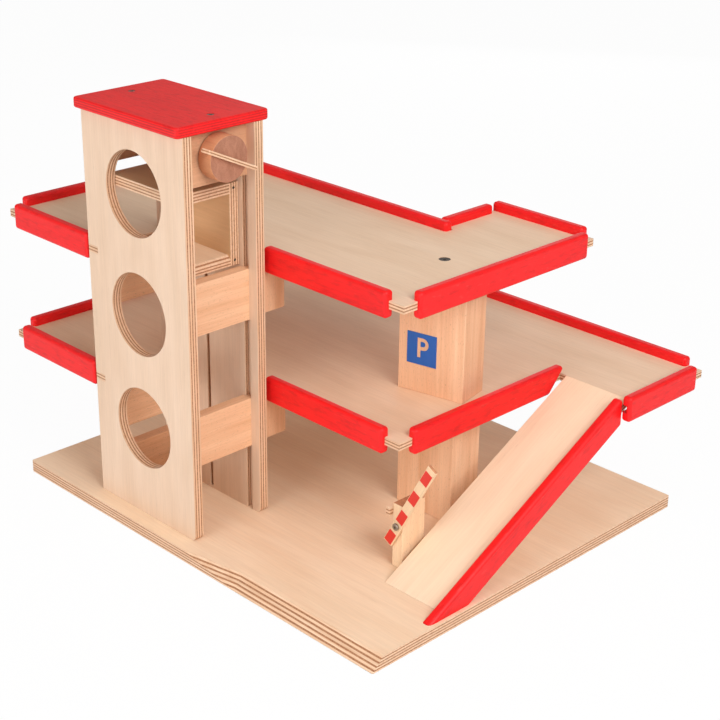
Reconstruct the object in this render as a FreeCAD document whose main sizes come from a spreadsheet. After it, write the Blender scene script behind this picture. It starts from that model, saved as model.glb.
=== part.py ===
import FreeCAD, Part
import math
import os
import re

# Toy parking garage with a lift: a ground board, a tower with a lift cabin and a hand winch,
# two decks edged with grooved rails, a ramp and a swinging gate.
# The sizes are millimetres. Inside the source a point is given as (across, deep, up), counted
# from the ground board's left front corner at its top face; place() moves it to the shared
# frame, whose origin is the centre of the ground board's underside.

doc = FreeCAD.newDocument("ParkingGarage")

SIZES = [
    # ground board
    ("base_length", 600, "ground board along the tower's depth direction"),
    ("base_width", 504, "ground board across"),
    ("base_thick", 15, "thickness of the ground board"),
    ("base_corner", 2, "rounding of the ground board's corners"),
    ("bevel_clear", 4, "from the tower to the start of the drive-on bevel"),
    ("bevel_fade", 85, "length over which the bevel grows to its full depth"),
    ("edge_round", 0.8, "sanded edge of the wooden pieces"),
    # tower
    ("tower_back", 121, "from the board's left edge to the tower"),
    ("tower_side", 21, "from the board's front edge to the tower"),
    ("panel_width", 175, "side panel, front to back"),
    ("panel_height", 467.5, "side panel, foot to roof"),
    ("panel_thick", 12, "side panel thickness"),
    ("panel_foot_round", 6, "rounding of the panel's lower front corner"),
    ("shaft_width", 84.5, "clear width between the side panels"),
    ("window_radius", 48.3, "round openings of the side panel"),
    ("window_foot", 63, "panel below the lowest opening"),
    ("window_head", 30.5, "panel above the highest opening"),
    ("guide_slot_width", 5.5, "slot that guides the cabin's peg"),
    ("guide_slot_foot", 3, "lower end of the guide slot"),
    ("guide_slot_spare", 20, "guide slot above the parked cabin's peg"),
    ("housing_width", 9.5, "groove that holds the cross boards"),
    ("housing_depth", 6, "depth of that groove"),
    ("board_thick", 14, "cross board thickness"),
    ("board_height", 60, "cross board height"),
    ("board_setback", 13, "from the panel's edge to the cross board"),
    ("guard_drop", 1.7, "front guard below the deck's underside"),
    ("bracket_reach", 40.5, "length of the brackets outside the tower"),
    # roof
    ("roof_thick", 12, "roof thickness"),
    ("roof_back", 4, "roof beyond the tower's back"),
    ("roof_nose", 1.5, "roof beyond the tower's front"),
    ("roof_side", 8.2, "roof beyond the tower's sides"),
    ("roof_corner", 5, "rounding of the roof's corners"),
    ("roof_edge", 2.5, "rounding of the roof's rims"),
    # cabin
    ("cabin_ply", 12, "thickness of the cabin's boards"),
    ("cabin_sill", 0.5, "parked cabin's underside above that of the upper deck"),
    ("cabin_head", 10.5, "parked cabin to the winch block"),
    ("cabin_end_gap", 1, "cabin to cross board"),
    ("cabin_side_gap", 0.75, "cabin to side panel"),
    ("cabin_bevel", 5, "bevel of the cabin floor's ends"),
    ("peg_radius", 2.4, "guide peg in the slot"),
    ("peg_rise", 22.5, "guide peg above the cabin's underside"),
    ("peg_grip", 8, "guide peg inside the cabin's wall"),
    ("peg_head_radius", 5, "head of the guide peg"),
    ("peg_head_thick", 3, "thickness of the guide peg's head"),
    ("peg_head_gap", 0.8, "peg head to side panel"),
    ("pin_radius", 1.6, "steel pins at the cabin's corners"),
    ("pin_length", 16, "length of the steel pins"),
    # winch
    ("knob_radius", 25, "winch knob"),
    ("knob_thick", 20.5, "thickness of the winch knob"),
    ("knob_gap", 1.5, "knob to winch block"),
    ("handle_length", 71, "handle strip"),
    ("handle_thick", 4.5, "thickness of the handle strip"),
    ("handle_stand", 7, "handle strip in front of the knob"),
    ("handle_groove", 6, "handle strip inside the knob"),
    ("handle_angle", 25, "turn of the handle strip at rest, degrees"),
    ("spindle_radius", 5, "winch spindle"),
    ("spindle_fit", 0.06, "spindle in its bores, radial"),
    ("drum_radius", 8, "winding drum"),
    ("drum_length", 70, "length of the winding drum"),
    # decks
    ("deck_thick", 9, "plywood of the decks and the ramp"),
    ("lower_deck_top", 154.5, "height of the lower deck; the upper deck is halfway to the roof"),
    ("deck_tab", 17, "depth of the deck's notches in the side panels"),
    ("deck_side", 25, "front edge of the decks behind the tower"),
    ("deck_gap", 12.5, "deck to the tower's right panel"),
    ("upper_reach", 44, "upper deck beyond the ground board's left edge"),
    ("upper_inset", 104, "upper deck's right edge inside that of the ground board"),
    ("upper_back_inset", 151, "upper deck's back edge inside that of the ground board"),
    ("bay_width", 146, "upper deck's bay, left to right"),
    ("bay_depth", 101.5, "upper deck's bay beyond the deck's back edge"),
    ("lower_reach", 47, "lower deck beyond the ground board's left edge"),
    ("lower_inset", 106, "lower deck's right edge inside that of the ground board"),
    ("lower_overhang", 37, "lower deck beyond the ground board's back edge"),
    ("landing_side", 12, "landing beyond the ramp's right edge"),
    ("landing_depth", 129, "landing, front to back"),
    # rails
    ("rail_height", 30.5, "rail, lip to lip"),
    ("rail_web", 5, "rail beyond the deck's edge"),
    ("rail_groove", 7, "depth of the rail's groove"),
    ("rail_round", 4, "rounding of the rail"),
    ("rail_corner_gap", 19, "rail end to deck corner"),
    ("tower_rail_lead", 15, "rails beside the tower to the decks' left corners"),
    ("tower_rail_gap", 3, "rail end to the tower's back"),
    ("bracket_rail_gap", 1.5, "front rails to the bracket beside the tower"),
    ("front_rail_gap", 21.5, "front rail to the deck's right corner"),
    ("end_rail_gap", 20, "right rail to the deck's front corner"),
    ("bay_rail_gap", 12, "bay's back rail to its right corner"),
    ("bay_rail_lap", 2, "bay's back rail beyond its left corner"),
    ("back_rail_lap", 16, "upper back rail beyond the bay's left edge"),
    ("bay_side_gap", 0.5, "bay's left rail to the back rail"),
    ("bay_rail_end", 14.5, "side rails of the bay to its back corners"),
    ("slant_run", 27, "slope of the lower right rail's end"),
    ("landing_rail_lap", 17.5, "landing rail beyond the landing's front edge"),
    ("landing_rail_gap", 16, "landing rail to the back corner"),
    # pillars and sign
    ("pillar_width", 85, "pillar, wide side"),
    ("pillar_depth", 46, "pillar, narrow side"),
    ("lower_pillar_inset", 112, "lower pillar's left side from the lower deck's right edge"),
    ("lower_pillar_back", 116, "lower pillar behind the decks' front edge"),
    ("upper_pillar_inset", 105.4, "upper pillar's left corner from the upper deck's right edge"),
    ("upper_pillar_back", 104.1, "upper pillar's left corner behind the decks' front edge"),
    ("upper_pillar_angle", 12, "turn of the upper pillar, degrees"),
    ("sign_side", 38, "parking sign"),
    ("sign_thick", 0.8, "thickness of the parking sign"),
    ("sign_inset", 11.6, "sign to the pillar's left edge"),
    ("sign_foot", 34.5, "sign above the lower deck"),
    ("letter_height", 24, "letter of the sign"),
    ("letter_stroke", 4.6, "stroke of the letter"),
    ("letter_bowl", 7.5, "outer radius of the letter's bowl"),
    ("letter_rise", 1.5, "letter above the middle of the sign"),
    ("letter_shift", 1.5, "letter right of the middle of the sign"),
    # ramp
    ("ramp_gap", 9.5, "ramp to the lower deck's right edge"),
    ("ramp_width", 87.5, "width of the ramp's board"),
    ("ramp_foot", 114.6, "where the ramp meets the ground board"),
    ("ramp_rail_gap", 14, "upper end of the ramp's rail to the landing"),
    ("ramp_rail_over", 13, "ramp's rail above the ramp's board, square to it"),
    # gate
    ("post_gap", 5.5, "gate post to the ramp"),
    ("post_up_ramp", 32, "gate post behind the ramp's foot"),
    ("post_thick", 15, "gate post, thickness"),
    ("post_width", 34.5, "gate post, width"),
    ("post_height", 78, "gate post, height"),
    ("pivot_height", 54.5, "gate arm's pivot above the ground board"),
    ("pivot_inset", 10.7, "gate arm's pivot from the post's left side"),
    ("arm_length", 129, "gate arm"),
    ("arm_width", 12.5, "width of the gate arm"),
    ("arm_thick", 4, "thickness of the gate arm"),
    ("arm_gap", 1.2, "gate arm to post"),
    ("gate_head_gap", 0.3, "gate screw's head to the arm"),
    ("arm_tail", 29, "pivot to the arm's lower end"),
    ("arm_angle", 61, "slope of the raised arm, degrees"),
    ("mark_length", 17, "red marks of the gate arm"),
    ("mark_width", 10.6, "width of the red marks"),
    ("mark_pitch", 34.3, "from one red mark to the next"),
    ("mark_first", 15.8, "first red mark's centre to the arm's tip"),
    ("mark_thick", 0.4, "thickness of the red marks"),
    ("stop_width", 6.2, "stop block beside the post"),
    ("stop_height", 10, "height of the stop block"),
    ("stop_depth", 11, "depth of the stop block"),
    ("stop_clearance", 1.8, "stop block to the lowered arm"),
    # screws
    ("screw_radius", 2, "shank of the wood screws"),
    ("screw_length", 22, "length of the wood screws"),
    ("screw_head_radius", 4.2, "head of the wood screws"),
    ("screw_head_thick", 2.6, "head height of the wood screws"),
    ("screw_sink", 0.4, "screw head below the surface"),
    ("driver_recess", 1.1, "half width of the driver recess"),
    ("deck_screw_radius", 6.7, "head of the screw in the upper deck"),
]

sheet = doc.addObject("Spreadsheet::Sheet", "Sizes")
for row, (alias, number, note) in enumerate(SIZES, start=1):
    sheet.set(f"A{row}", alias)
    sheet.set(f"B{row}", str(number))
    sheet.setAlias(f"B{row}", alias)
    sheet.set(f"C{row}", note)
doc.recompute()
ALIASES = {alias for alias, number, note in SIZES}


def value(alias):
    """The sheet's present value of one named size."""
    return float(getattr(sheet, alias))


def bind(piece, prop, size):
    """Drives a property of a piece by an expression of named sizes."""
    named = re.sub(r"[a-z_]+", lambda word: "Sizes." + word.group()
                   if word.group() in ALIASES else word.group(), str(size))
    piece.setExpression(prop, named)


def locate(piece, across, deep, up):
    """Drives the position of a piece by three expressions."""
    bind(piece, "Placement.Base.x", across)
    bind(piece, "Placement.Base.y", deep)
    bind(piece, "Placement.Base.z", up)


# Shapes.
AXES = {
    "across": FreeCAD.Rotation(FreeCAD.Vector(0, 1, 0), 90),
    "deep": FreeCAD.Rotation(FreeCAD.Vector(1, 0, 0), -90),
    "up": FreeCAD.Rotation(),
    "down": FreeCAD.Rotation(FreeCAD.Vector(1, 0, 0), 180),
    "front": FreeCAD.Rotation(FreeCAD.Vector(1, 0, 0), 90),
}


def box(name, length, width, height, across=0, deep=0, up=0):
    """A block from a corner."""
    block = doc.addObject("Part::Box", name)
    bind(block, "Length", length)
    bind(block, "Width", width)
    bind(block, "Height", height)
    locate(block, across, deep, up)
    return block


def rod(name, radius, length, axis, across=0, deep=0, up=0):
    """A cylinder that starts at a point and runs along an axis."""
    cylinder = doc.addObject("Part::Cylinder", name)
    cylinder.Placement = FreeCAD.Placement(FreeCAD.Vector(), AXES[axis])
    bind(cylinder, "Radius", radius)
    bind(cylinder, "Height", length)
    locate(cylinder, across, deep, up)
    return cylinder


def cone(name, radius, end_radius, length, axis, across=0, deep=0, up=0):
    """A cone that starts at a point and runs along an axis."""
    taper = doc.addObject("Part::Cone", name)
    taper.Placement = FreeCAD.Placement(FreeCAD.Vector(), AXES[axis])
    bind(taper, "Radius1", radius)
    bind(taper, "Radius2", end_radius)
    bind(taper, "Height", length)
    locate(taper, across, deep, up)
    return taper


def fuse(name, *pieces):
    """One solid from several that touch."""
    union = doc.addObject("Part::MultiFuse", name)
    union.Shapes = list(pieces)
    union.Refine = True
    return union


def cut(name, stock, *tools):
    """The stock less its tools."""
    piece = doc.addObject("Part::Cut", name)
    piece.Base = stock
    piece.Tool = tools[0] if len(tools) == 1 else fuse(name + "_tools", *tools)
    return piece


def group(name, *pieces):
    """Like pieces that stay separate solids of one node."""
    bundle = doc.addObject("Part::Compound", name)
    bundle.Links = list(pieces)
    return bundle


def rounded(name, stock, alias, chosen=None):
    """The stock with its chosen edges rounded; every edge when none is chosen."""
    fillet = doc.addObject("Part::Fillet", name)
    fillet.Base = stock
    doc.recompute()
    radius = value(alias)
    fillet.Edges = [(number, radius, radius)
                    for number, edge in enumerate(stock.Shape.Edges, start=1)
                    if chosen is None or chosen(edge)]
    return fillet


def upright(edge):
    """True for an edge that runs straight up."""
    first, last = edge.Vertexes[0].Point, edge.Vertexes[-1].Point
    return abs(first.x - last.x) < 1e-6 and abs(first.y - last.y) < 1e-6


def plank(name, length, width, height):
    """A wooden block with sanded edges, from its corner."""
    return rounded(name, box(name + "_stock", length, width, height), "edge_round")


FINISHED = []


def place(piece, label, across, deep, up):
    """Names a finished piece and puts it in the shared frame."""
    piece.Label = label
    locate(piece, f"{across} - base_length / 2", f"{deep} - base_width / 2", f"{up} + base_thick")
    FINISHED.append(piece)
    return piece


# Places that several pieces share.
LOWER_UNDER = "(lower_deck_top - deck_thick)"
UPPER_TOP = "((lower_deck_top + panel_height) / 2)"
UPPER_UNDER = f"({UPPER_TOP} - deck_thick)"
TOWER_FRONT = "(tower_back + panel_width)"
SHAFT_LEFT = "(tower_side + panel_thick)"
SHAFT_RIGHT = "(tower_side + panel_thick + shaft_width)"
TOWER_RIGHT = "(tower_side + 2 * panel_thick + shaft_width)"
SHAFT_MIDDLE = "(tower_side + panel_thick + shaft_width / 2)"
DECK_FRONT = "(tower_side + 2 * panel_thick + shaft_width + deck_gap)"
WINCH_UP = "(panel_height - board_height / 2)"
FRONT_BOARD = "(tower_back + panel_width - board_setback - board_thick)"
REAR_BOARD = "(tower_back + board_setback)"
CABIN_BACK = "(tower_back + board_setback + board_thick + cabin_end_gap)"
CABIN_LEFT = "(tower_side + panel_thick + cabin_side_gap)"
CABIN_LENGTH = "(panel_width - 2 * board_setback - 2 * board_thick - 2 * cabin_end_gap)"
CABIN_WIDTH = "(shaft_width - 2 * cabin_side_gap)"
CABIN_REST = f"({UPPER_UNDER} + cabin_sill)"
CABIN_HEIGHT = f"(panel_height - board_height - cabin_head - {CABIN_REST})"
UPPER_END = "(base_length - upper_inset)"
UPPER_FAR = "(base_width - upper_back_inset)"
BAY_FROM = f"({UPPER_END} - bay_width)"
BAY_FAR = f"({UPPER_FAR} + bay_depth)"
LOWER_END = "(base_length - lower_inset)"
LOWER_FAR = "(base_width + lower_overhang)"
LANDING_FRONT = f"({LOWER_FAR} - landing_depth)"
RAMP_LEFT = f"({LOWER_END} + ramp_gap)"
RAMP_RIGHT = f"({RAMP_LEFT} + ramp_width)"
PILLAR_LEFT = f"({UPPER_END} - upper_pillar_inset)"
PILLAR_FRONT = f"({DECK_FRONT} + upper_pillar_back)"
LANDING_END = f"({RAMP_RIGHT} + landing_side)"
POST_LEFT = f"({RAMP_LEFT} - post_gap - post_thick)"
POST_FRONT = "(ramp_foot + post_up_ramp)"
RAMP_SLOPE = f"(lower_deck_top / ({LANDING_FRONT} - ramp_foot))"
RAMP_STRETCH = f"sqrt(1 + {RAMP_SLOPE} ^ 2)"


# Screws.
def screw_body(name, axis, across, deep, up, head_radius="screw_head_radius"):
    """A countersunk screw whose head faces away from the axis direction; starts at the head."""
    head = cone(name + "_head", head_radius, "screw_radius", "screw_head_thick",
                axis, across, deep, up)
    shank = rod(name + "_shank", "screw_radius", "screw_length", axis, across, deep, up)
    return fuse(name + "_body", head, shank)


def screw_bore(name, across, deep, up, head_radius="screw_head_radius"):
    """The space of a countersunk screw that goes down, open above its sunk head."""
    mouth = rod(name + "_mouth", head_radius, "screw_sink", "up", across, deep, up)
    return fuse(name, screw_body(name + "_in", "down", across, deep, up, head_radius), mouth)


def cross_recess(name, across, deep, up, facing="up"):
    """The driver's cross in a screw head that faces up or to the front."""
    bars = []
    for side, (long, wide) in enumerate([("screw_radius", "driver_recess / 2"),
                                         ("driver_recess / 2", "screw_radius")]):
        if facing == "up":
            bar = box(f"{name}_bar_{side}", f"2 * {long}", f"2 * {wide}", "driver_recess",
                      f"{across} - {long}", f"{deep} - {wide}", f"{up} - driver_recess")
        else:
            bar = box(f"{name}_bar_{side}", f"2 * {long}", "driver_recess", f"2 * {wide}",
                      f"{across} - {long}", deep, f"{up} - {wide}")
        bars.append(bar)
    return fuse(name, *bars)


# Ground board.
def bevel_run_out(name):
    """The wedge between the full bevel and the plain edge of the ground board."""
    start = value("tower_back") + value("panel_width") + value("bevel_clear")
    full = start + value("bevel_fade")
    thick = value("base_thick")
    tip = FreeCAD.Vector(start, 0, thick)
    inner = FreeCAD.Vector(full, thick, thick)
    foot = FreeCAD.Vector(full, 0, 0)
    top = FreeCAD.Vector(full, 0, thick)
    sides = [(tip, inner, foot), (tip, foot, top), (tip, top, inner), (foot, inner, top)]
    faces = [Part.Face(Part.makePolygon([*corners, corners[0]])) for corners in sides]
    wedge = doc.addObject("Part::Feature", name)
    wedge.Shape = Part.makeSolid(Part.makeShell(faces))
    return wedge


def ground_board():
    stock = box("base_stock", "base_length", "base_width", "base_thick")
    corners = rounded("base_corners", stock, "base_corner", upright)
    full = f"({TOWER_FRONT} + bevel_clear + bevel_fade)"
    bevel = box("base_bevel", f"base_length - {full} + base_thick", "3 * base_thick",
                "3 * base_thick", full, 0, 0)
    bevel.Placement.Rotation = FreeCAD.Rotation(FreeCAD.Vector(1, 0, 0), 45)
    board = cut("base", corners, bevel, bevel_run_out("base_bevel_fade"))
    place(board, "base_board", "0", "0", "-base_thick")


# Tower.
def panel(name, inner_side):
    """A side panel with its deck notches and the grooves for the cross boards."""
    stock = box(name + "_stock", "panel_width", "panel_thick", "panel_height")
    width = value("panel_width")

    def front_foot(edge):
        middle = edge.CenterOfMass
        return abs(middle.x - width) < 1e-3 and abs(middle.z) < 1e-3

    shaped = rounded(name + "_shaped", stock, "panel_foot_round", front_foot)
    tools = []
    for level, under in (("lower", LOWER_UNDER), ("upper", UPPER_UNDER)):
        tools.append(box(f"{name}_{level}_notch", "deck_tab", "panel_thick", "deck_thick",
                         0, 0, under))
    groove_deep = {"right": "panel_thick - housing_depth", "left": 0}[inner_side]
    front = "panel_width - board_setback - housing_width"
    for end, across in (("rear", "board_setback"), ("front", front)):
        tools.append(box(f"{name}_{end}_groove", "housing_width", "housing_depth",
                         "panel_height", across, groove_deep, 0))
    return shaped, tools


def left_panel():
    shaped, tools = panel("left_panel", "right")
    lowest = "(window_foot + window_radius)"
    highest = "(panel_height - window_head - window_radius)"
    for level in range(3):
        up = f"{lowest} + {level} / 2 * ({highest} - {lowest})"
        tools.append(rod(f"window_{level}", "window_radius", "panel_thick", "deep",
                         "panel_width / 2", 0, up))
    place(cut("left_panel", shaped, *tools), "tower_left_panel", "tower_back", "tower_side", "0")


def right_panel():
    shaped, tools = panel("right_panel", "left")
    half = "guide_slot_width / 2"
    slot_top = f"({CABIN_REST} + peg_rise + guide_slot_spare)"
    tools.append(box("guide_slot", "guide_slot_width", "panel_thick",
                     f"{slot_top} - guide_slot_foot - guide_slot_width",
                     f"panel_width / 2 - {half}", 0, f"guide_slot_foot + {half}"))
    for end, up in (("foot", f"guide_slot_foot + {half}"), ("top", f"{slot_top} - {half}")):
        tools.append(rod("guide_slot_" + end, half, "panel_thick", "deep",
                         "panel_width / 2", 0, up))
    place(cut("right_panel", shaped, *tools), "tower_right_panel",
          "tower_back", SHAFT_RIGHT, "0")


def cross_board(label, across, under, outer, tools=()):
    """A board between the side panels, with a tongue at each end; outer is its tongue's side."""
    board = plank(label + "_board", "board_thick", "shaft_width", "board_height")
    tongue_across = {"front": "board_thick - housing_width", "rear": 0}[outer]
    tongue = box(label + "_tongue", "housing_width", "shaft_width + 2 * housing_depth",
                 "board_height", tongue_across, "-housing_depth", 0)
    piece = fuse(label + "_whole", board, tongue)
    if tools:
        piece = cut(label + "_cut", piece, *tools)
    place(piece, label, across, SHAFT_LEFT, under)


def block_bores(label):
    """The spindle's bore and the roof screw's bore of a top board."""
    bore = rod(label + "_bore", "spindle_radius + spindle_fit", "board_thick", "across",
               0, "shaft_width / 2", "board_height / 2")
    screw = screw_body(label + "_roof_screw", "down", "board_thick / 2", "shaft_width / 2",
                       "board_height + roof_thick - screw_sink")
    return bore, screw


def cross_boards():
    top = "(panel_height - board_height)"
    cross_board("winch_block", FRONT_BOARD, top, "front", block_bores("winch_block"))
    cross_board("rear_top_crosspiece", REAR_BOARD, top, "rear", block_bores("rear_top"))
    for level, under in (("upper", UPPER_UNDER), ("lower", LOWER_UNDER)):
        cross_board("front_guard_" + level, FRONT_BOARD,
                    f"{under} - guard_drop - board_height", "front")
        cross_board("rear_support_" + level, REAR_BOARD, f"{under} - board_height", "rear")
    cross_board("rear_guard_ground", REAR_BOARD, "0", "rear")


def brackets():
    """The blocks outside the right panel that the decks rest on."""
    for level, under in (("upper", UPPER_UNDER), ("lower", LOWER_UNDER)):
        block = plank("bracket_" + level, "board_thick", "bracket_reach", "board_height")
        place(block, "deck_bracket_" + level, FRONT_BOARD, TOWER_RIGHT, f"{under} - board_height")


def roof():
    width = "(shaft_width + 2 * panel_thick + 2 * roof_side)"
    stock = box("roof_stock", "panel_width + roof_back + roof_nose", width, "roof_thick")
    corners = rounded("roof_corners", stock, "roof_corner", upright)
    rims = rounded("roof_rims", corners, "roof_edge", lambda edge: not upright(edge))
    middle = f"({width} / 2)"
    head_up = "roof_thick - screw_sink"
    bores, screws = [], []
    for end, board in (("front", FRONT_BOARD), ("rear", REAR_BOARD)):
        across = f"{board} + board_thick / 2 - tower_back + roof_back"
        bores.append(screw_bore(f"roof_bore_{end}", across, middle, head_up))
        body = screw_body(f"roof_screw_{end}", "down", across, middle, head_up)
        recess = cross_recess(f"roof_screw_{end}_cross", across, middle, head_up)
        screws.append(cut(f"roof_screw_{end}", body, recess))
    corner = ("tower_back - roof_back", "tower_side - roof_side", "panel_height")
    place(cut("roof", rims, *bores), "tower_roof", *corner)
    place(group("roof_screws", *screws), "roof_screws", *corner)


# Lift cabin.
def fingers(name, up):
    """The two tongues by which a cabin board goes through the cabin's wall."""
    finger = f"{CABIN_LENGTH} / 5"
    return [box(f"{name}_finger_{place_number}", finger, "cabin_ply", "cabin_ply",
                f"{place_number} * {finger}", f"{CABIN_WIDTH} - cabin_ply", up)
            for place_number in (1, 3)]


def pin_places():
    """The steel pins' two heights in the cabin."""
    return (("floor", "cabin_ply / 2"), ("roof", f"{CABIN_HEIGHT} - cabin_ply / 2"))


def pin(name, up):
    return rod(name, "pin_radius", "pin_length", "across", f"{CABIN_LENGTH} - pin_length",
               f"{CABIN_WIDTH} - cabin_ply / 2", up)


def cabin():
    corner = (CABIN_BACK, CABIN_LEFT, CABIN_REST)
    for label, up in (("floor", "0"), ("roof", f"{CABIN_HEIGHT} - cabin_ply")):
        board = box(f"cabin_{label}_stock", CABIN_LENGTH, f"{CABIN_WIDTH} - cabin_ply",
                    "cabin_ply", 0, 0, up)
        piece = fuse(f"cabin_{label}_whole", board, *fingers(f"cabin_{label}", up))
        if label == "floor":
            piece = bevelled_floor(piece)
        place(piece, "cabin_" + label, *corner)
    wall = box("cabin_wall_stock", CABIN_LENGTH, "cabin_ply", CABIN_HEIGHT,
               0, f"{CABIN_WIDTH} - cabin_ply", 0)
    holes = fingers("cabin_wall_low", "0") + fingers("cabin_wall_high", f"{CABIN_HEIGHT} - cabin_ply")
    holes += [pin(f"cabin_wall_{end}_bore", up) for end, up in pin_places()]
    holes.append(rod("cabin_peg_bore", "peg_radius", "peg_grip", "deep",
                     f"{CABIN_LENGTH} / 2", f"{CABIN_WIDTH} - peg_grip", "peg_rise"))
    place(cut("cabin_wall", wall, *holes), "cabin_wall", *corner)
    place(group("cabin_pins", *[pin(f"cabin_{end}_pin", up) for end, up in pin_places()]),
          "cabin_pins", *corner)


def bevelled_floor(floor):
    """The cabin floor with both drive-in ends bevelled."""
    tools = []
    for end, across in (("rear", "-cabin_bevel"), ("front", f"{CABIN_LENGTH} - cabin_bevel")):
        tool = box(f"floor_bevel_{end}", "cabin_bevel * sqrt(2)", CABIN_WIDTH,
                   "cabin_bevel * sqrt(2)", across, 0, "cabin_ply")
        tool.Placement.Rotation = FreeCAD.Rotation(FreeCAD.Vector(0, 1, 0), 45)
        tools.append(tool)
    return cut("cabin_floor_bevelled", floor, *tools)


def guide_peg():
    """The screw that holds the cabin's wall to the slot of the right panel."""
    reach = "peg_grip + cabin_side_gap + panel_thick + peg_head_gap"
    shank = rod("peg_shank", "peg_radius", reach, "deep", 0, 0, 0)
    head = rod("peg_head", "peg_head_radius", "peg_head_thick", "deep", 0, reach, 0)
    domed = rounded("peg_domed", head, "edge_round")
    place(fuse("peg", shank, domed), "cabin_guide_peg", f"{CABIN_BACK} + {CABIN_LENGTH} / 2",
          f"{CABIN_LEFT} + {CABIN_WIDTH} - peg_grip", f"{CABIN_REST} + peg_rise")


# Winch.
KNOB_BACK = f"({TOWER_FRONT} - board_setback + knob_gap)"


def handle_strip(name):
    """The strip across the knob, turned to its rest position."""
    strip = box(name, "handle_groove + handle_stand", "handle_length", "handle_thick")
    strip.Placement.Rotation = FreeCAD.Rotation(FreeCAD.Vector(1, 0, 0), -value("handle_angle"))
    along = "cos(handle_angle * 1 deg)"
    aside = "sin(handle_angle * 1 deg)"
    locate(strip, "knob_thick - handle_groove",
           f"-handle_length / 2 * {along} - handle_thick / 2 * {aside}",
           f"handle_length / 2 * {aside} - handle_thick / 2 * {along}")
    return strip


def winch():
    disc = rod("knob_disc", "knob_radius", "knob_thick", "across")
    knob = rounded("knob_eased", disc, "edge_round")
    bore = rod("knob_bore", "spindle_radius", "knob_thick - handle_groove", "across")
    place(cut("knob", knob, bore, handle_strip("knob_slot")), "winch_knob",
          KNOB_BACK, SHAFT_MIDDLE, WINCH_UP)
    strip = rounded("handle", handle_strip("handle_stock"), "edge_round")
    place(strip, "winch_handle", KNOB_BACK, SHAFT_MIDDLE, WINCH_UP)
    drum_from = f"({TOWER_FRONT} + tower_back - drum_length) / 2"
    spindle = rod("spindle", "spindle_radius",
                  f"{KNOB_BACK} + knob_thick - handle_groove - {REAR_BOARD}", "across")
    place(spindle, "winch_spindle", REAR_BOARD, SHAFT_MIDDLE, WINCH_UP)
    drum = rod("drum_stock", "drum_radius", "drum_length", "across")
    sleeve = cut("drum", drum, rod("drum_bore", "spindle_radius", "drum_length", "across"))
    place(sleeve, "winch_drum", drum_from, SHAFT_MIDDLE, WINCH_UP)


# Decks.
def tower_side_of_deck(name, reach, far):
    """The deck behind and beside the tower: its left part and the tabs in the panels."""
    left = box(name + "_left", f"{reach} + tower_back", f"{far} - deck_side", "deck_thick",
               f"-{reach}", "deck_side", 0)
    tab = box(name + "_tab", "deck_tab", f"{far} - tower_side", "deck_thick",
              "tower_back", "tower_side", 0)
    return left, tab


def upper_pillar_middle():
    """The upper pillar's middle, which is turned about its front left corner."""
    along = "cos(upper_pillar_angle * 1 deg)"
    aside = "sin(upper_pillar_angle * 1 deg)"
    across = f"({PILLAR_LEFT} + pillar_width / 2 * {along} - pillar_depth / 2 * {aside})"
    deep = f"({PILLAR_FRONT} + pillar_width / 2 * {aside} + pillar_depth / 2 * {along})"
    return across, deep


def decks():
    left, tab = tower_side_of_deck("upper", "upper_reach", UPPER_FAR)
    start = "(tower_back + deck_tab)"
    main = box("upper_main", f"{UPPER_END} - {start}", f"{UPPER_FAR} - {DECK_FRONT}", "deck_thick",
               start, DECK_FRONT, 0)
    bay = box("upper_bay", "bay_width", "bay_depth", "deck_thick", BAY_FROM, UPPER_FAR, 0)
    notch = box("upper_notch", "back_rail_lap", "rail_web", "deck_thick", BAY_FROM, UPPER_FAR, 0)
    across, deep = upper_pillar_middle()
    bore = screw_bore("upper_bore", across, deep, "deck_thick - screw_sink", "deck_screw_radius")
    deck = cut("upper", fuse("upper_sheet", left, tab, main, bay), notch, bore)
    place(deck, "upper_deck", "0", "0", UPPER_UNDER)
    body = screw_body("deck_screw_body", "down", 0, 0, 0, "deck_screw_radius")
    screw = cut("deck_screw_cut", body, cross_recess("deck_screw_cross", "0", "0", "0"))
    place(screw, "deck_screw", across, deep, f"{UPPER_TOP} - screw_sink")
    left, tab = tower_side_of_deck("lower", "lower_reach", LOWER_FAR)
    main = box("lower_main", f"{LOWER_END} - {start}", f"{LOWER_FAR} - {DECK_FRONT}", "deck_thick",
               start, DECK_FRONT, 0)
    landing = box("lower_landing", f"{LANDING_END} - {LOWER_END}", "landing_depth",
                  "deck_thick", LOWER_END, LANDING_FRONT, 0)
    place(fuse("lower", left, tab, main, landing), "lower_deck", "0", "0", LOWER_UNDER)


# Rails.
RAIL_WIDTH = "(rail_web + rail_groove)"


def rail(label, under, run, start, end, edge, outward):
    """A grooved rail on a deck's edge; outward is +1 or -1 along the other direction."""
    length = f"({end}) - ({start})"
    groove_from = {1: "0", -1: "rail_web"}[outward]
    outer_from = {1: f"({edge}) - rail_groove", -1: f"({edge}) - rail_web"}[outward]
    lip = "(rail_height - deck_thick) / 2"
    if run == "across":
        stock = box(label + "_stock", length, RAIL_WIDTH, "rail_height")
        groove = box(label + "_groove", length, "rail_groove", "deck_thick", 0, groove_from, lip)
        corner = (f"({start})", outer_from)
    else:
        stock = box(label + "_stock", RAIL_WIDTH, length, "rail_height")
        groove = box(label + "_groove", "rail_groove", length, "deck_thick", groove_from, 0, lip)
        corner = (outer_from, f"({start})")
    bar = rounded(label + "_bar", stock, "rail_round")
    return cut(label + "_rail", bar, groove), label, *corner, f"{under} - {lip}"


RAILS_FROM = f"({FRONT_BOARD} + board_thick + bracket_rail_gap)"
BACK_CORNER = "(tower_back - tower_rail_gap)"


def rails(level, under, forms):
    for name, run, start, end, edge, outward in forms:
        place(*rail(f"{level}_rail_{name}", under, run, start, end, edge, outward))


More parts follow.
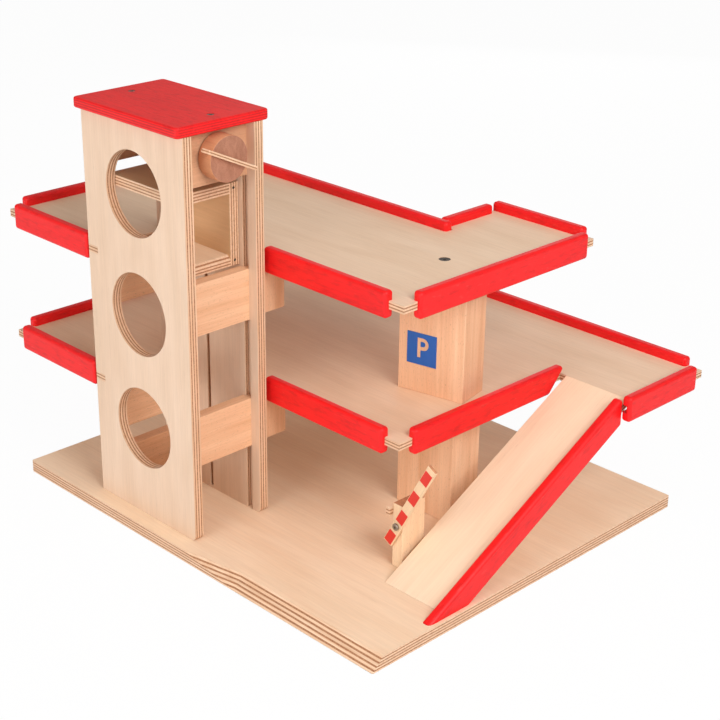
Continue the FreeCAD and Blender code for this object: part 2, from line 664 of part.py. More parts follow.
def upper_rails():
    rails("upper", UPPER_UNDER, (
        ("front", "across", RAILS_FROM, f"{UPPER_END} - front_rail_gap", DECK_FRONT, -1),
        ("right", "deep", f"{DECK_FRONT} + end_rail_gap", f"{BAY_FAR} - bay_rail_end",
         UPPER_END, 1),
        ("bay_back", "across", f"{BAY_FROM} - bay_rail_lap", f"{UPPER_END} - bay_rail_gap",
         BAY_FAR, 1),
        ("bay_side", "deep", f"{UPPER_FAR} + rail_web + bay_side_gap",
         f"{BAY_FAR} - bay_rail_end", BAY_FROM, -1),
        ("back", "across", "rail_corner_gap - upper_reach", f"{BAY_FROM} + back_rail_lap",
         UPPER_FAR, 1),
        ("left", "deep", "deck_side + rail_corner_gap", f"{UPPER_FAR} - rail_corner_gap",
         "-upper_reach", -1),
        ("tower", "across", "tower_rail_lead - upper_reach", BACK_CORNER, "deck_side", -1),
    ))


def lower_rails():
    rails("lower", LOWER_UNDER, (
        ("front", "across", RAILS_FROM, f"{LOWER_END} - front_rail_gap", DECK_FRONT, -1),
        ("landing", "deep", f"{LANDING_FRONT} - landing_rail_lap",
         f"{LOWER_FAR} - landing_rail_gap", LANDING_END, 1),
        ("back", "across", "rail_corner_gap - lower_reach",
         f"{LANDING_END} - rail_corner_gap", LOWER_FAR, 1),
        ("left", "deep", "deck_side + rail_corner_gap", f"{LOWER_FAR} - rail_corner_gap",
         "-lower_reach", -1),
        ("tower", "across", "tower_rail_lead - lower_reach", BACK_CORNER, "deck_side", -1),
    ))
    slanted_rail()


def slanted_rail():
    """The lower deck's rail beside the ramp, its far end cut on a slope."""
    start = f"({DECK_FRONT} + end_rail_gap)"
    piece, label, across, deep, up = rail("lower_rail_right", LOWER_UNDER, "deep", start,
                                          LANDING_FRONT, LOWER_END, 1)
    length = f"({LANDING_FRONT} - {start})"
    wedge = doc.addObject("Part::Wedge", "slant")
    wedge.Placement = FreeCAD.Placement(FreeCAD.Vector(), AXES["front"])
    for prop, size in (("Xmin", "0"), ("Xmax", RAIL_WIDTH), ("X2min", "0"), ("X2max", RAIL_WIDTH),
                       ("Ymin", "0"), ("Ymax", "rail_height"),
                       ("Zmin", f"-{length} - slant_run"), ("Zmax", f"slant_run - {length}"),
                       ("Z2min", f"-{length} - slant_run"), ("Z2max", f"-{length}")):
        bind(wedge, prop, size)
    place(cut("slanted_rail", piece, wedge), label, across, deep, up)


# Pillars, sign.
def pillars():
    lower = plank("pillar_lower", "pillar_width", "pillar_depth", LOWER_UNDER)
    place(lower, "pillar_lower", f"{LOWER_END} - lower_pillar_inset",
          f"{DECK_FRONT} + lower_pillar_back", "0")
    turn = FreeCAD.Rotation(FreeCAD.Vector(0, 0, 1), value("upper_pillar_angle"))
    stock = plank("pillar_upper_block", "pillar_width", "pillar_depth",
                  f"{UPPER_UNDER} - lower_deck_top")
    top = f"({UPPER_UNDER} - lower_deck_top + deck_thick - screw_sink)"
    bore = screw_body("pillar_screw_bore", "down", "pillar_width / 2", "pillar_depth / 2", top,
                      "deck_screw_radius")
    upper = cut("pillar_upper", stock, bore)
    upper.Placement.Rotation = turn
    corner = (PILLAR_LEFT, PILLAR_FRONT)
    place(upper, "pillar_upper", *corner, "lower_deck_top")
    plate = sign()
    plate.Placement.Rotation = turn
    place(plate, "parking_sign", *corner, "lower_deck_top + sign_foot")


def sign():
    """A square plate on the pillar's front with a cut-out letter."""
    front = "-sign_thick"
    plate = box("sign_plate", "sign_side", "sign_thick", "sign_side", "sign_inset", front, 0)
    foot = "((sign_side - letter_height) / 2 + letter_rise)"
    left = "(sign_inset + sign_side / 2 - letter_bowl + letter_shift)"
    stem = box("letter_stem", "letter_stroke", "sign_thick", "letter_height", left, front, foot)
    middle = f"{foot} + letter_height - letter_bowl"
    bowl = rod("letter_bowl", "letter_bowl", "sign_thick", "deep",
               f"{left} + letter_bowl", front, middle)
    arms = box("letter_arms", "letter_bowl", "sign_thick", "2 * letter_bowl",
               left, front, f"{middle} - letter_bowl")
    eye_radius = "(letter_bowl - letter_stroke)"
    eye = rod("letter_eye", eye_radius, "sign_thick", "deep",
              f"{left} + letter_bowl", front, middle)
    eye_box = box("letter_eye_box", "letter_bowl - letter_stroke", "sign_thick",
                  f"2 * {eye_radius}", f"{left} + letter_stroke", front,
                  f"{middle} - {eye_radius}")
    outer = fuse("letter_outer", stem, bowl, arms)
    letter = cut("letter", outer, fuse("letter_counter", eye, eye_box))
    return cut("sign", plate, letter)


# Ramp.
def sloped_bar(name, across, width, start, end, under, over):
    """A bar along the ramp's slope; under and over are measured square to the ramp."""
    bar = doc.addObject("Part::Wedge", name)
    low = f"({start} - ramp_foot) * {RAMP_SLOPE}"
    high = f"({end} - ramp_foot) * {RAMP_SLOPE}"
    for prop, size in (("Xmin", across), ("X2min", across),
                       ("Xmax", f"{across} + {width}"), ("X2max", f"{across} + {width}"),
                       ("Ymin", start), ("Ymax", end),
                       ("Zmin", f"{low} - ({under}) * {RAMP_STRETCH}"),
                       ("Zmax", f"{low} + ({over}) * {RAMP_STRETCH}"),
                       ("Z2min", f"{high} - ({under}) * {RAMP_STRETCH}"),
                       ("Z2max", f"{high} + ({over}) * {RAMP_STRETCH}")):
        bind(bar, prop, size)
    return bar


def below_ground(name):
    """Everything under the ramp that would reach into the ground board."""
    return box(name, "base_length", "base_width", "base_width", "base_length / 2", 0,
               "-base_width")


def ramp():
    board = sloped_bar("ramp_stock", RAMP_LEFT, "ramp_width", "ramp_foot", LANDING_FRONT,
                       "deck_thick", "0")
    place(cut("ramp", board, below_ground("ramp_ground")), "ramp_board", "0", "0", "0")
    groove_from = f"({RAMP_RIGHT} - rail_groove)"
    bar_from = "(ramp_foot - rail_height)"
    bar_end = f"({LANDING_FRONT} - ramp_rail_gap)"
    bar = sloped_bar("ramp_rail_stock", groove_from, RAIL_WIDTH, bar_from, bar_end,
                     "rail_height - ramp_rail_over", "ramp_rail_over")
    bar = rounded("ramp_rail_bar", bar, "rail_round")
    groove = sloped_bar("ramp_rail_groove", groove_from, "rail_groove", bar_from,
                        bar_end, "deck_thick", "0")
    place(cut("ramp_rail", bar, groove, below_ground("ramp_rail_ground")), "ramp_rail",
          "0", "0", "0")


# Gate.
PIVOT = (f"({POST_LEFT} + pivot_inset)", f"({POST_FRONT} - arm_gap - arm_thick)", "pivot_height")


def raised(piece):
    """Turns a piece of the gate arm to the slope it has at rest."""
    piece.Placement.Rotation = FreeCAD.Rotation(FreeCAD.Vector(0, 1, 0), -value("arm_angle"))
    return piece


def gate():
    post = plank("post", "post_thick", "post_width", "post_height")
    bore = rod("post_bore", "screw_radius", "screw_length - arm_gap", "deep",
               "pivot_inset", 0, "pivot_height")
    place(cut("post_bored", post, bore), "gate_post", POST_LEFT, POST_FRONT, "0")
    arm = box("arm_stock", "arm_length", "arm_thick", "arm_width",
              "-arm_tail", 0, "-arm_width / 2")
    arm = rounded("arm_eased", arm, "edge_round")
    hole = rod("arm_hole", "screw_radius + spindle_fit", "arm_thick", "deep")
    place(raised(cut("arm", arm, hole)), "gate_arm", *PIVOT)
    marks = []
    for number in range(4):
        across = (f"arm_length - arm_tail - mark_first - {number} * mark_pitch"
                  " - mark_length / 2")
        marks.append(box(f"mark_{number}", "mark_length", "mark_thick", "mark_width",
                         across, "-mark_thick", "-mark_width / 2"))
    place(raised(group("marks", *marks)), "gate_marks", *PIVOT)
    gate_screw()
    stop_block()


def gate_screw():
    """The pan-head screw that the arm turns on; it is fixed in the post."""
    reach = "(arm_thick + screw_length)"
    shank = rod("gate_screw_shank", "screw_radius", reach, "deep")
    front = "(-screw_head_thick - gate_head_gap)"
    head = rod("gate_screw_head", "screw_head_radius", "screw_head_thick", "deep", 0, front, 0)
    neck = rod("gate_screw_neck", "screw_radius", "gate_head_gap", "deep",
               0, "-gate_head_gap", 0)
    domed = rounded("gate_screw_domed", head, "edge_round")
    body = fuse("gate_screw_body", shank, neck, domed)
    recess = cross_recess("gate_screw_cross", "0", front, "0", "front")
    place(cut("gate_screw_cut", body, recess), "gate_screw", *PIVOT)


def stop_block():
    """The block beside the post that holds the lowered arm level."""
    block = plank("stop", "stop_width", "stop_depth", "stop_height")
    place(block, "gate_stop", f"{POST_LEFT} - stop_width", PIVOT[1],
          "pivot_height + arm_width / 2 + stop_clearance")


ground_board()
left_panel()
right_panel()
cross_boards()
brackets()
roof()
cabin()
guide_peg()
winch()
decks()
upper_rails()
lower_rails()
pillars()
ramp()
gate()
doc.recompute()

for item in doc.Objects:
    if "Invalid" in item.State or "Error" in item.State:
        raise RuntimeError(f"{item.Name} did not compute: {item.State}")
for piece in FINISHED:
    if piece.Shape.isNull() or not piece.Shape.isValid() or not piece.Shape.Solids:
        raise RuntimeError(f"{piece.Label} has no sound solid")

os.makedirs("parts", exist_ok=True)
for piece in FINISHED:
    piece.Shape.exportStep(os.path.join("parts", piece.Label + ".step"))
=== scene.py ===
import math

import bpy
from mathutils import Matrix, Vector


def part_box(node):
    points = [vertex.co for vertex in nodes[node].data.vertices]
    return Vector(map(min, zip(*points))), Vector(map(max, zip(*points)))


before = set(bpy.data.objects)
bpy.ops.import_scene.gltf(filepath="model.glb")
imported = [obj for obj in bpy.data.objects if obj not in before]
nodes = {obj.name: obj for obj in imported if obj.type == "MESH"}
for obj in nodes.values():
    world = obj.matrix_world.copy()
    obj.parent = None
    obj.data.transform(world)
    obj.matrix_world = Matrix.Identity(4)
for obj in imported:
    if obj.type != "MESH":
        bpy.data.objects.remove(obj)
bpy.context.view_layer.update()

MM = 0.001

# Turns of the pieces that don't lie along the frame's axes.
RAMP_RISE = 154.5
RAMP_FOOT = 114.6
RAMP_HEAD = 412
RAMP_SLOPE = math.atan2(RAMP_RISE, RAMP_HEAD - RAMP_FOOT)
ARM_RAISE = math.radians(61)
HANDLE_TURN = math.radians(25)
PILLAR_TURN = math.radians(12)

# Thicknesses, and the places that carry the layers of sloping plywood, in millimetres.
BASE_PLY = 15
TOWER_PLY = 12
DECK_PLY = 9
STOP_PLY = 10
STRIP_PLY = 4.5
HALF_DEPTH = 252
WINCH_ACROSS = 75.25
WINCH_UP = 437.5

X_AXIS = (1, 0, 0)
Y_AXIS = (0, 1, 0)
Z_AXIS = (0, 0, 1)


def tone(red, green, blue):
    """A display colour from 0 to 255 as the linear colour that nodes take."""
    linear = []
    for part in (red, green, blue):
        part /= 255
        linear.append(part / 12.92 if part <= 0.04045 else ((part + 0.055) / 1.055) ** 2.4)
    return (*linear, 1)


class Graph:
    """Builds one material's node tree in few words."""

    def __init__(self, name):
        self.material = bpy.data.materials.new(name)
        self.material.use_nodes = True
        self.tree = self.material.node_tree
        self.shader = self.tree.nodes["Principled BSDF"]

    def node(self, kind, settings=(), **inputs):
        made = self.tree.nodes.new("ShaderNode" + kind)
        for key, setting in dict(settings).items():
            setattr(made, key, setting)
        for key, source in inputs.items():
            self.feed(made.inputs[key.replace("_", " ")], source)
        return made

    def feed(self, socket, source):
        if isinstance(source, bpy.types.NodeSocket):
            self.tree.links.new(source, socket)
        else:
            socket.default_value = source

    def math(self, operation, *values, clamp=False):
        made = self.tree.nodes.new("ShaderNodeMath")
        made.operation = operation
        made.use_clamp = clamp
        for socket, source in zip(made.inputs, values):
            self.feed(socket, source)
        return made.outputs[0]

    def dot(self, vector, axis):
        made = self.tree.nodes.new("ShaderNodeVectorMath")
        made.operation = "DOT_PRODUCT"
        self.feed(made.inputs[0], vector)
        self.feed(made.inputs[1], axis)
        return made.outputs["Value"]

    def noise(self, vector, scale, detail=4, roughness=0.55, distortion=0):
        made = self.node("TexNoise", Vector=vector, Scale=scale, Detail=detail,
                         Roughness=roughness, Distortion=distortion)
        return made.outputs["Fac"]

    def stretch(self, vector, scale, shift=(0, 0, 0)):
        made = self.node("Mapping", Vector=vector, Scale=scale, Location=shift)
        return made.outputs["Vector"]

    def ramp(self, factor, *stops):
        made = self.node("ValToRGB", Fac=factor)
        elements = made.color_ramp.elements
        while len(elements) < len(stops):
            elements.new(0.5)
        for element, (position, colour) in zip(elements, stops):
            element.position = position
            element.color = colour if isinstance(colour, tuple) else (colour,) * 3 + (1,)
        return made.outputs["Color"]

    def mix(self, factor, first, second, blend="MIX"):
        made = self.node("Mix", {"data_type": "RGBA", "blend_type": blend})
        self.feed(made.inputs[0], factor)
        self.feed(made.inputs[6], first)
        self.feed(made.inputs[7], second)
        return made.outputs[2]

    def bump(self, height, strength, distance, normal=None):
        made = self.node("Bump", Height=height, Strength=strength, Distance=distance)
        if normal is not None:
            self.feed(made.inputs["Normal"], normal)
        return made.outputs["Normal"]

    def wood_space(self, grain, thick):
        """The surface point as (along the grain, across it, through the thickness)."""
        grain = Vector(grain).normalized()
        thick = Vector(thick).normalized()
        across = thick.cross(grain).normalized()
        place = self.node("TexCoord")
        parts = [self.dot(place.outputs["Object"], axis) for axis in (grain, across, thick)]
        facing = [self.dot(place.outputs["Normal"], axis) for axis in (grain, across, thick)]
        spot = self.node("CombineXYZ", X=parts[0], Y=parts[1], Z=parts[2]).outputs[0]
        return spot, parts, [self.math("ABSOLUTE", side) for side in facing]


# Materials. Each birch is the light and the dark tone of its face veneer; the deck and cabin
# birches also carry painted shade.
PALE_BIRCH = ((254, 227, 197), (244, 210, 176))
# The decks' birch: its own veneer, dulled with painted shade of the dimmer light at the decks and
# beneath the upper deck.
SHADE_DULLED_BIRCH = ((246, 216, 187), (235, 200, 167))
GREY_BIRCH = ((242, 213, 188), (230, 198, 170))
# The cabin's birch: its own veneer, warmed and darkened with painted shade from inside the tower.
SHADE_WARMED_BIRCH = ((238, 198, 154), (224, 180, 134))


def finish_wood(graph, colour, height, rough=0.55, bump=0.12):
    """Sanded bare wood: a dull sheen, soft edges and the grain's fine relief."""
    eased = graph.node("Bevel", {"samples": 4}, Radius=0.0007).outputs["Normal"]
    graph.feed(graph.shader.inputs["Base Color"], colour)
    graph.feed(graph.shader.inputs["Normal"], graph.bump(height, bump, 0.0004, eased))
    graph.shader.inputs["Roughness"].default_value = rough
    graph.shader.inputs["Specular IOR Level"].default_value = 0.35
    return graph.material


def birch_face(graph, spot, seed, light, dark):
    """Peeled birch: pale, with slow waves of figure, fine fibres and short flecks."""
    drift = graph.noise(graph.stretch(spot, (4, 14, 4), (seed, 0, 0)), 1.6, 3, 0.5, 0.6)
    fibre = graph.noise(graph.stretch(spot, (18, 420, 420), (0, seed, 0)), 1.0, 5, 0.65)
    streak = graph.noise(graph.stretch(spot, (5, 90, 90), (seed, seed, 0)), 1.0, 4, 0.6, 0.3)
    fleck = graph.noise(graph.stretch(spot, (70, 800, 800), (seed, 3, 0)), 1.0, 2, 0.5)
    figure = graph.ramp(drift, (0.32, light), (0.7, dark))
    figure = graph.mix(0.34, figure, graph.ramp(streak, (0.35, light), (0.68, dark)))
    lines = graph.ramp(fibre, (0.38, 0.90), (0.62, 1.0))
    figure = graph.mix(0.55, figure, lines, "MULTIPLY")
    spots = graph.ramp(fleck, (0.24, 0.72), (0.33, 1.0))
    return graph.mix(0.4, figure, spots, "MULTIPLY"), fibre


def birch_plywood(name, grain, thick, low, thickness, layers, seed=0.0, face_tones=PALE_BIRCH):
    """Birch plywood with one face veneer, and its stack of crossed veneers on every edge."""
    graph = Graph(name)
    spot, parts, facing = graph.wood_space(grain, thick)
    face, fibre = birch_face(graph, spot, seed, *(tone(*shade) for shade in face_tones))
    wobble = graph.noise(graph.stretch(spot, (14, 14, 3), (seed, 0, 0)), 1.0, 3, 0.6)
    wobble = graph.math("MULTIPLY", graph.math("SUBTRACT", wobble, 0.5), 0.35)
    depth = graph.math("DIVIDE", graph.math("SUBTRACT", parts[2], low), thickness / layers)
    depth = graph.math("ADD", depth, wobble)
    whole = graph.math("FLOOR", depth)
    within = graph.math("SUBTRACT", depth, whole)
    odd = graph.math("PINGPONG", whole, 1.0)
    tint = graph.node("TexWhiteNoise", {"noise_dimensions": "1D"},
                      W=graph.math("ADD", whole, seed)).outputs["Value"]
    long_grain = graph.ramp(fibre, (0.35, tone(224, 182, 146)), (0.65, tone(243, 209, 178)))
    pores = graph.noise(graph.stretch(spot, (900, 900, 300), (0, 0, seed)), 1.0, 3, 0.7)
    end_grain = graph.ramp(pores, (0.35, tone(146, 92, 60)), (0.66, tone(196, 142, 104)))
    from_middle = graph.math("ABSOLUTE", graph.math("SUBTRACT", within, 0.5))
    core = graph.ramp(from_middle, (0.32, 1.0), (0.46, 0.25))
    veneer = graph.mix(graph.math("MULTIPLY", odd, core), long_grain, end_grain)
    veneer = graph.mix(0.5, veneer, graph.ramp(tint, (0.0, 0.9), (1.0, 1.05)), "MULTIPLY")
    on_face = graph.math("GREATER_THAN", facing[2], 0.93)
    colour = graph.mix(on_face, veneer, face)
    return finish_wood(graph, colour, fibre, 0.5)


def beech(name, grain, thick, seed=0.0, light=(250, 206, 168), dark=(228, 172, 130), fleck=1.0,
          end_light=(216, 152, 112), end_dark=(180, 118, 84)):
    """Steamed beech: even pink-brown wood full of short dark rays along the grain."""
    graph = Graph(name)
    spot, parts, facing = graph.wood_space(grain, thick)
    bands = graph.noise(graph.stretch(spot, (2.5, 60, 60), (seed, seed, 0)), 1.0, 5, 0.62, 0.5)
    fibre = graph.noise(graph.stretch(spot, (25, 700, 700), (0, seed, 0)), 1.0, 4, 0.6)
    wood = graph.ramp(bands, (0.3, tone(*light)), (0.72, tone(*dark)))
    wood = graph.mix(0.5, wood, graph.ramp(fibre, (0.36, 0.84), (0.62, 1.0)), "MULTIPLY")
    rays = graph.noise(graph.stretch(spot, (260, 1700, 1700), (seed, 7, 0)), 1.0, 2, 0.4)
    rays = graph.ramp(rays, (0.27, 0.52), (0.36, 1.0))
    wood = graph.mix(0.75 * fleck, wood, rays, "MULTIPLY")
    rings = graph.noise(graph.stretch(spot, (4, 160, 60), (seed, 0, 2)), 1.0, 4, 0.6, 0.8)
    end = graph.ramp(rings, (0.3, tone(*end_light)), (0.7, tone(*end_dark)))
    pores = graph.noise(graph.stretch(spot, (900, 1500, 1500)), 1.0, 2, 0.5)
    end = graph.mix(0.7, end, graph.ramp(pores, (0.3, 0.7), (0.5, 1.0)), "MULTIPLY")
    on_end = graph.ramp(facing[0], (0.55, 0.0), (0.8, 1.0))
    colour = graph.mix(on_end, wood, end)
    return finish_wood(graph, colour, fibre, 0.52)


LACQUERED_VENEER = 1.35


def red_lacquer(name, grain, thick, seed=0.0, layers=False):
    """Red lacquer on wood: satin, thin enough to show the fibres, with paler and darker flecks."""
    graph = Graph(name)
    spot, parts, facing = graph.wood_space(grain, thick)
    fibre = graph.noise(graph.stretch(spot, (16, 500, 500), (0, seed, 0)), 1.0, 5, 0.65)
    cloud = graph.noise(graph.stretch(spot, (9, 30, 30), (seed, 0, 0)), 1.0, 3, 0.6)
    coat = graph.ramp(cloud, (0.3, tone(240, 18, 22)), (0.7, tone(252, 26, 28)))
    coat = graph.mix(0.35, coat, graph.ramp(fibre, (0.38, 0.80), (0.62, 1.0)), "MULTIPLY")
    if layers:
        depth = graph.math("MULTIPLY", parts[2], 1 / (LACQUERED_VENEER * MM))
        band = graph.math("PINGPONG", depth, 1.0)
        bands = graph.ramp(band, (0.25, 0.62), (0.7, 1.0))
        edge = graph.mix(0.8, coat, bands, "MULTIPLY")
        coat = graph.mix(graph.math("GREATER_THAN", facing[2], 0.75), edge, coat)
    flecks = graph.noise(graph.stretch(spot, (90, 330, 330), (seed, 4, 0)), 1.0, 3, 0.6)
    coat = graph.mix(graph.ramp(flecks, (0.62, 0.0), (0.76, 0.3)), coat, tone(255, 96, 90))
    shades = graph.noise(graph.stretch(spot, (60, 220, 220), (seed, 9, 0)), 1.0, 3, 0.6)
    coat = graph.mix(0.6, coat, graph.ramp(shades, (0.3, 0.72), (0.5, 1.0)), "MULTIPLY")
    speckle = graph.noise(graph.stretch(spot, (500, 500, 500), (seed, 0, 5)), 1.0, 3, 0.6)
    relief = graph.math("ADD", fibre, graph.math("MULTIPLY", speckle, 0.5))
    eased = graph.node("Bevel", {"samples": 4}, Radius=0.0008).outputs["Normal"]
    graph.feed(graph.shader.inputs["Base Color"], coat)
    graph.feed(graph.shader.inputs["Normal"], graph.bump(relief, 0.22, 0.0005, eased))
    graph.feed(graph.shader.inputs["Roughness"],
               graph.node("MapRange", Value=speckle, To_Min=0.36, To_Max=0.54).outputs[0])
    graph.shader.inputs["Specular IOR Level"].default_value = 0.35
    return graph.material


def printed_paint(name, colour, seed=0.0):
    """A thin printed coat on wood, with the wood's fibres faintly in it."""
    graph = Graph(name)
    spot = graph.wood_space(Z_AXIS, Y_AXIS)[0]
    fibre = graph.noise(graph.stretch(spot, (40, 900, 900), (seed, 0, 0)), 1.0, 4, 0.6)
    coat = graph.mix(0.5, tone(*colour), graph.ramp(fibre, (0.3, 0.8), (0.65, 1.0)), "MULTIPLY")
    graph.feed(graph.shader.inputs["Base Color"], coat)
    graph.feed(graph.shader.inputs["Normal"], graph.bump(fibre, 0.15, 0.0002))
    graph.shader.inputs["Roughness"].default_value = 0.42
    return graph.material


def steel(name, colour, rough=0.35):
    """Plated steel with fine turning marks and a little tarnish."""
    graph = Graph(name)
    place = graph.node("TexCoord").outputs["Object"]
    marks = graph.noise(graph.stretch(place, (2500, 2500, 9000)), 1.0, 3, 0.6)
    cloud = graph.noise(place, 600, 3)
    coat = graph.mix(0.4, tone(*colour), graph.ramp(cloud, (0.3, 0.55), (0.7, 1.0)), "MULTIPLY")
    graph.feed(graph.shader.inputs["Base Color"], coat)
    graph.feed(graph.shader.inputs["Normal"], graph.bump(marks, 0.2, 0.0001))
    graph.feed(graph.shader.inputs["Roughness"],
               graph.node("MapRange", Value=marks, To_Min=rough - 0.08,
                          To_Max=rough + 0.12).outputs[0])
    graph.shader.inputs["Metallic"].default_value = 1.0
    return graph.material


def dress(node, material):
    """Gives a CAD node its material."""
    for place in nodes[node].material_slots:
        place.link = "OBJECT"
        place.material = material


def low_along(node, axis):
    """The lowest place of a node along an axis of the frame, in metres."""
    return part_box(node)[0][axis]


# Plywood: grain, thickness axis, thickness, layers and face of each flat board.
FLAT_PLYWOOD = (
    ("base_board", X_AXIS, Z_AXIS, BASE_PLY, 9, PALE_BIRCH),
    ("lower_deck", X_AXIS, Z_AXIS, DECK_PLY, 5, SHADE_DULLED_BIRCH),
    ("upper_deck", X_AXIS, Z_AXIS, DECK_PLY, 5, SHADE_DULLED_BIRCH),
    ("cabin_floor", X_AXIS, Z_AXIS, TOWER_PLY, 7, PALE_BIRCH),
    ("cabin_roof", X_AXIS, Z_AXIS, TOWER_PLY, 7, SHADE_WARMED_BIRCH),
    ("cabin_wall", X_AXIS, Y_AXIS, TOWER_PLY, 7, SHADE_WARMED_BIRCH),
    ("tower_left_panel", Z_AXIS, Y_AXIS, TOWER_PLY, 7, GREY_BIRCH),
    ("tower_right_panel", Z_AXIS, Y_AXIS, TOWER_PLY, 7, GREY_BIRCH),
    ("gate_stop", Y_AXIS, Z_AXIS, STOP_PLY, 5, PALE_BIRCH),
)
for seed, (node, grain, thick, thickness, layers, face_tones) in enumerate(FLAT_PLYWOOD):
    low = low_along(node, thick.index(1))
    dress(node, birch_plywood(node + "_ply", grain, thick, low, thickness * MM, layers,
                              seed * 3.7, face_tones))

slope_along = (0, math.cos(RAMP_SLOPE), math.sin(RAMP_SLOPE))
slope_up = (0, -math.sin(RAMP_SLOPE), math.cos(RAMP_SLOPE))
ramp_top = Vector((0, RAMP_HEAD - HALF_DEPTH, RAMP_RISE + BASE_PLY)).dot(slope_up)
dress("ramp_board", birch_plywood("ramp_ply", slope_along, slope_up, (ramp_top - DECK_PLY) * MM,
                                  DECK_PLY * MM, 5, 41.0))
strip_along = (0, math.cos(HANDLE_TURN), -math.sin(HANDLE_TURN))
strip_up = (0, math.sin(HANDLE_TURN), math.cos(HANDLE_TURN))
strip_middle = Vector((0, WINCH_ACROSS - HALF_DEPTH, WINCH_UP + BASE_PLY)).dot(strip_up)
dress("winch_handle", birch_plywood("handle_ply", strip_along, strip_up,
                                    (strip_middle - STRIP_PLY / 2) * MM, STRIP_PLY * MM, 3, 13.0))

# Beech.
for seed, (node, grain, thick) in enumerate((
    ("rear_top_crosspiece", Y_AXIS, X_AXIS),
    ("front_guard_upper", Y_AXIS, X_AXIS),
    ("front_guard_lower", Y_AXIS, X_AXIS),
    ("rear_support_upper", Y_AXIS, X_AXIS),
    ("rear_support_lower", Y_AXIS, X_AXIS),
    ("rear_guard_ground", Y_AXIS, X_AXIS),
    ("deck_bracket_upper", Z_AXIS, X_AXIS),
    ("deck_bracket_lower", Z_AXIS, X_AXIS),
    ("pillar_lower", Z_AXIS, Y_AXIS),
    ("pillar_upper", Z_AXIS, (-math.sin(PILLAR_TURN), math.cos(PILLAR_TURN), 0)),
    ("winch_spindle", X_AXIS, Z_AXIS),
    ("winch_drum", X_AXIS, Z_AXIS),
)):
    dress(node, beech(node + "_beech", grain, thick, 2.3 * seed))
# The winch block is darker than the other beech: partly its own darker beech, partly painted shade
# of the knob and the roof above it.
dress("winch_block", beech("block_beech_shaded", Y_AXIS, X_AXIS, 31.0, (230, 182, 144), (202, 148, 112)))
dress("winch_knob", beech("knob_beech", X_AXIS, Z_AXIS, 25.3, (226, 164, 122), (200, 136, 98), 0.6,
                          (188, 132, 106), (164, 110, 86)))
dress("gate_post", beech("post_beech", Z_AXIS, X_AXIS, 23.0, (255, 224, 188), (244, 202, 160)))
arm_along = (math.cos(ARM_RAISE), 0, math.sin(ARM_RAISE))
dress("gate_arm", beech("gate_arm_wood", arm_along, Y_AXIS, 5.1, (250, 218, 180),
                        (238, 200, 158), 0.3))

# Paint and steel.
for seed, node in enumerate(sorted(nodes)):
    if "_rail" in node:
        low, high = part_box(node)
        lengths = [high[axis] - low[axis] for axis in range(3)]
        grain, thick = (X_AXIS if lengths[0] > lengths[1] else Y_AXIS), Z_AXIS
        if node == "ramp_rail":
            grain, thick = slope_along, slope_up
        dress(node, red_lacquer(node + "_red", grain, thick, 1.9 * seed))
dress("tower_roof", red_lacquer("roof_red", X_AXIS, Z_AXIS, 77.0, True))
dress("gate_marks", printed_paint("mark_red", (228, 44, 30), 4.0))
dress("parking_sign", printed_paint("sign_blue", (20, 92, 176), 9.0))
zinc = steel("zinc_steel", (168, 160, 150))
dark_steel = steel("dark_steel", (92, 84, 76), 0.45)
for node in ("roof_screws", "gate_screw", "cabin_guide_peg"):
    dress(node, zinc)
for node in ("deck_screw", "cabin_pins"):
    dress(node, dark_steel)


# Floor, light and camera.
def pale_floor():
    """A broad pale floor that looks white to the camera and keeps the object's shadow."""
    bpy.ops.mesh.primitive_plane_add(size=14, location=(0, 0, -0.2 * MM))
    floor = bpy.context.object
    floor.name = "floor"
    graph = Graph("floor_paper")
    place = graph.node("TexCoord").outputs["Object"]
    fine = graph.noise(place, 900, 2)
    paper = graph.ramp(fine, (0.3, tone(251, 251, 251)), (0.7, tone(254, 254, 254)))
    graph.feed(graph.shader.inputs["Base Color"], paper)
    graph.shader.inputs["Roughness"].default_value = 0.9
    glow = graph.node("Emission", Color=(1, 1, 1, 1), Strength=1.0)
    rays = graph.node("LightPath")
    seen = graph.math("MAXIMUM", rays.outputs["Is Camera Ray"], rays.outputs["Is Glossy Ray"])
    seen = graph.math("MAXIMUM", seen, rays.outputs["Is Transmission Ray"])
    blend = graph.node("MixShader")
    graph.feed(blend.inputs[0], graph.math("MULTIPLY", seen, 0.96))
    graph.feed(blend.inputs[1], graph.shader.outputs[0])
    graph.feed(blend.inputs[2], glow.outputs[0])
    output = graph.tree.nodes["Material Output"]
    graph.feed(output.inputs["Surface"], blend.outputs[0])
    floor.data.materials.append(graph.material)


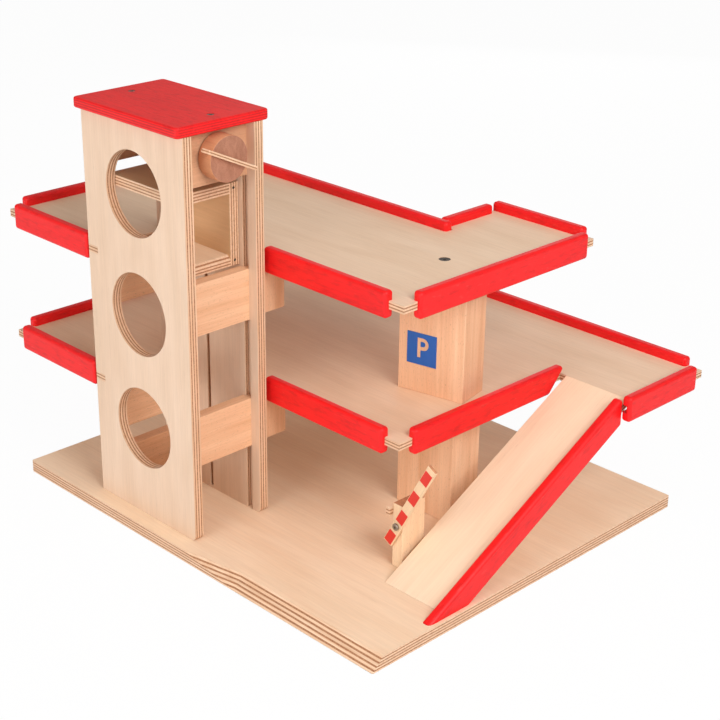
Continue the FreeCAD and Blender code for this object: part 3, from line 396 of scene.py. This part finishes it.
def world_light(strength):
    """Even studio light from all round; the camera sees it as white."""
    world = bpy.data.worlds.new("studio")
    bpy.context.scene.world = world
    world.use_nodes = True
    tree = world.node_tree
    back = tree.nodes["Background"]
    back.inputs["Color"].default_value = (1.0, 0.955, 0.9, 1)
    back.inputs["Strength"].default_value = strength
    white = tree.nodes.new("ShaderNodeBackground")
    white.inputs["Color"].default_value = (1, 1, 1, 1)
    rays = tree.nodes.new("ShaderNodeLightPath")
    mix = tree.nodes.new("ShaderNodeMixShader")
    tree.links.new(rays.outputs["Is Camera Ray"], mix.inputs[0])
    tree.links.new(back.outputs[0], mix.inputs[1])
    tree.links.new(white.outputs[0], mix.inputs[2])
    tree.links.new(mix.outputs[0], tree.nodes["World Output"].inputs["Surface"])


def soft_lamp(name, place, aim, size, power):
    """A square soft box that points at a place."""
    lamp = bpy.data.lights.new(name, "AREA")
    lamp.size = size
    lamp.energy = power
    holder = bpy.data.objects.new(name, lamp)
    bpy.context.collection.objects.link(holder)
    holder.location = place
    holder.visible_camera = False
    holder.rotation_euler = (Vector(aim) - Vector(place)).to_track_quat("-Z", "Y").to_euler()


def camera():
    """The camera that the photograph was taken with, found from its straight edges."""
    azimuth, elevation, roll = (math.radians(angle) for angle in (45.18, 23.53, 0.76))
    forward = Vector((-math.sin(azimuth) * math.cos(elevation),
                      math.cos(azimuth) * math.cos(elevation), -math.sin(elevation)))
    level = forward.cross(Vector(Z_AXIS)).normalized()
    above = level.cross(forward)
    right = math.cos(roll) * level + math.sin(roll) * above
    up = math.cos(roll) * above - math.sin(roll) * level
    data = bpy.data.cameras.new("camera")
    data.lens = 77.95
    data.sensor_width = 36
    holder = bpy.data.objects.new("camera", data)
    bpy.context.collection.objects.link(holder)
    turn = Matrix((right, up, -forward)).transposed().to_4x4()
    holder.matrix_world = Matrix.Translation((1.2107, -1.1804, 0.9081)) @ turn
    bpy.context.scene.camera = holder


pale_floor()
world_light(0.38)
MIDDLE = (0, 0, 0.15)
FOOT = (0, 0, 0)
for name, place, aim, size, power in (
    ("key", (2.0, -0.5, 1.6), MIDDLE, 1.2, 36),
    ("fill", (0.3, -2.3, 0.9), MIDDLE, 1.2, 16),
    ("top", (0.3, -0.2, 2.6), MIDDLE, 1.6, 5),
    ("low", (-0.4, -1.9, 0.4), FOOT, 0.8, 3),
    ("rear", (-1.4, 2.0, 0.7), MIDDLE, 1.2, 5),
):
    soft_lamp(name, place, aim, size, power)
camera()
bpy.context.scene.view_settings.view_transform = "Standard"
